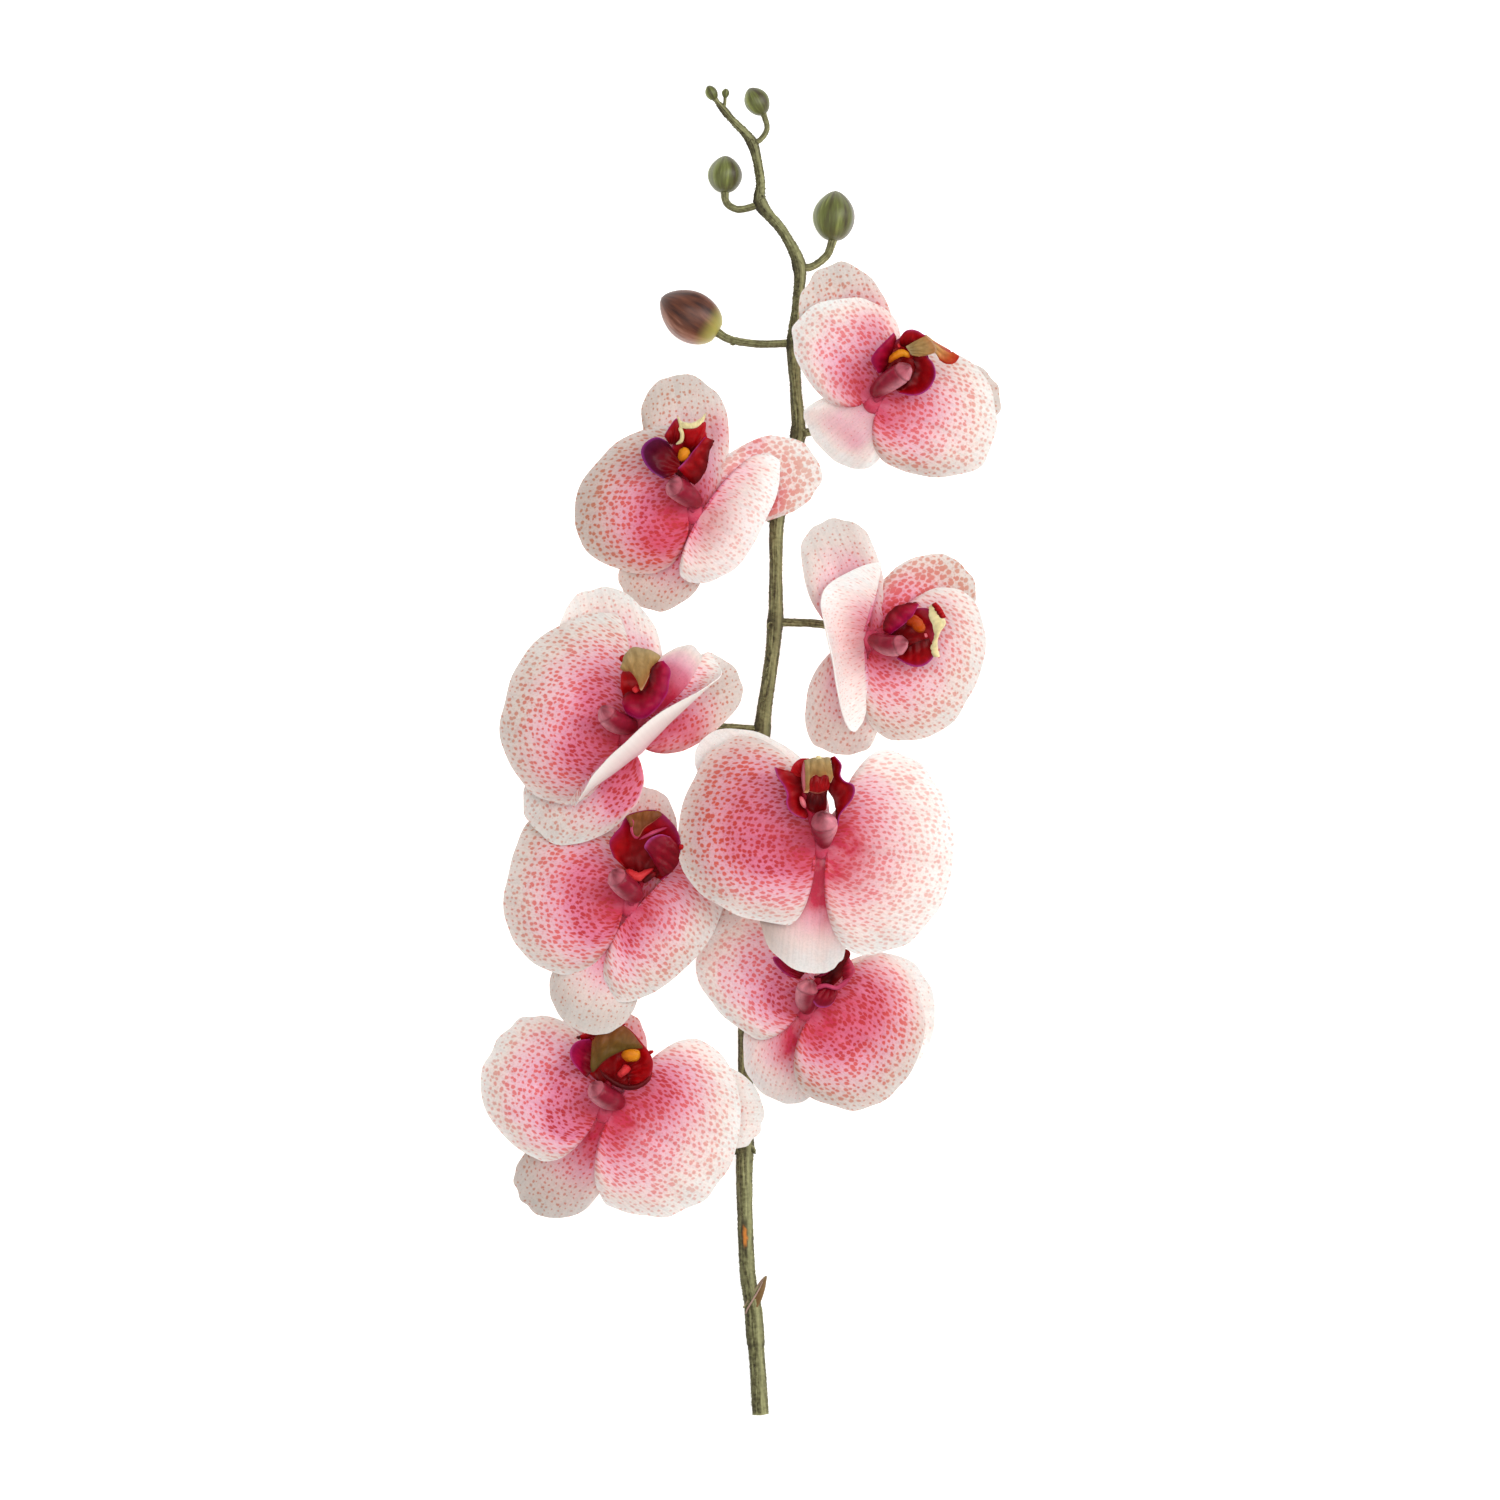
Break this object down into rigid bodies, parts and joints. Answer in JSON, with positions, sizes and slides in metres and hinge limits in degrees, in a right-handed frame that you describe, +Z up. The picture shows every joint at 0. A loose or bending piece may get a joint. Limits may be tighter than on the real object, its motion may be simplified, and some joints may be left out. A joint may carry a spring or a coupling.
{
  "type": "moth orchid stem",
  "caption": "Cut flower spike of a moth orchid lying on its back, with speckled pink blooms facing up on both sides of an arching green stem and closed buds towards its tip.",
  "frame": {"origin": "on the surface that the spike lies on, under the middle of its overall box", "axes": "+Y along the spike from its cut end to its tip, +Z up, the way the blooms face, +X to the right of the blooms seen from in front"},
  "size_m": [0.186, 0.4794, 0.0761],
  "materials": {
    "stem_green": "living stem, olive green with a dull bloom",
    "bud_green": "living bud, ridged olive green, satin",
    "bud_brown": "living bud, brown-red with pale ridges, satin",
    "tepal_pink": "petal, pink with coral speckles, fading to a cream margin, soft satin",
    "lip_crimson": "fleshy lip, dark crimson with violet and olive edges, waxy",
    "column_mauve": "fleshy column, mauve-rose with a pale waxy cap"
  },
  "bodies": {
    "root": {"stem": "stem_green", "bud_brown": "bud_brown", "bud_right": "bud_green", "bud_left": "bud_green", "bud_upper": "bud_green", "bud_tip": "bud_green", "bud_small": "bud_green", "bloom_1_tepals": "tepal_pink", "bloom_1_column": "column_mauve", "bloom_1_lip": "lip_crimson", "bloom_2_tepals": "tepal_pink", "bloom_2_column": "column_mauve", "bloom_2_lip": "lip_crimson", "bloom_3_tepals": "tepal_pink", "bloom_3_column": "column_mauve", "bloom_3_lip": "lip_crimson", "bloom_4_tepals": "tepal_pink", "bloom_4_column": "column_mauve", "bloom_4_lip": "lip_crimson", "bloom_5_tepals": "tepal_pink", "bloom_5_column": "column_mauve", "bloom_5_lip": "lip_crimson", "bloom_6_tepals": "tepal_pink", "bloom_6_column": "column_mauve", "bloom_6_lip": "lip_crimson", "bloom_7_tepals": "tepal_pink", "bloom_7_column": "column_mauve", "bloom_7_lip": "lip_crimson", "bloom_8_tepals": "tepal_pink", "bloom_8_column": "column_mauve", "bloom_8_lip": "lip_crimson"}
  },
  "joints": []
}
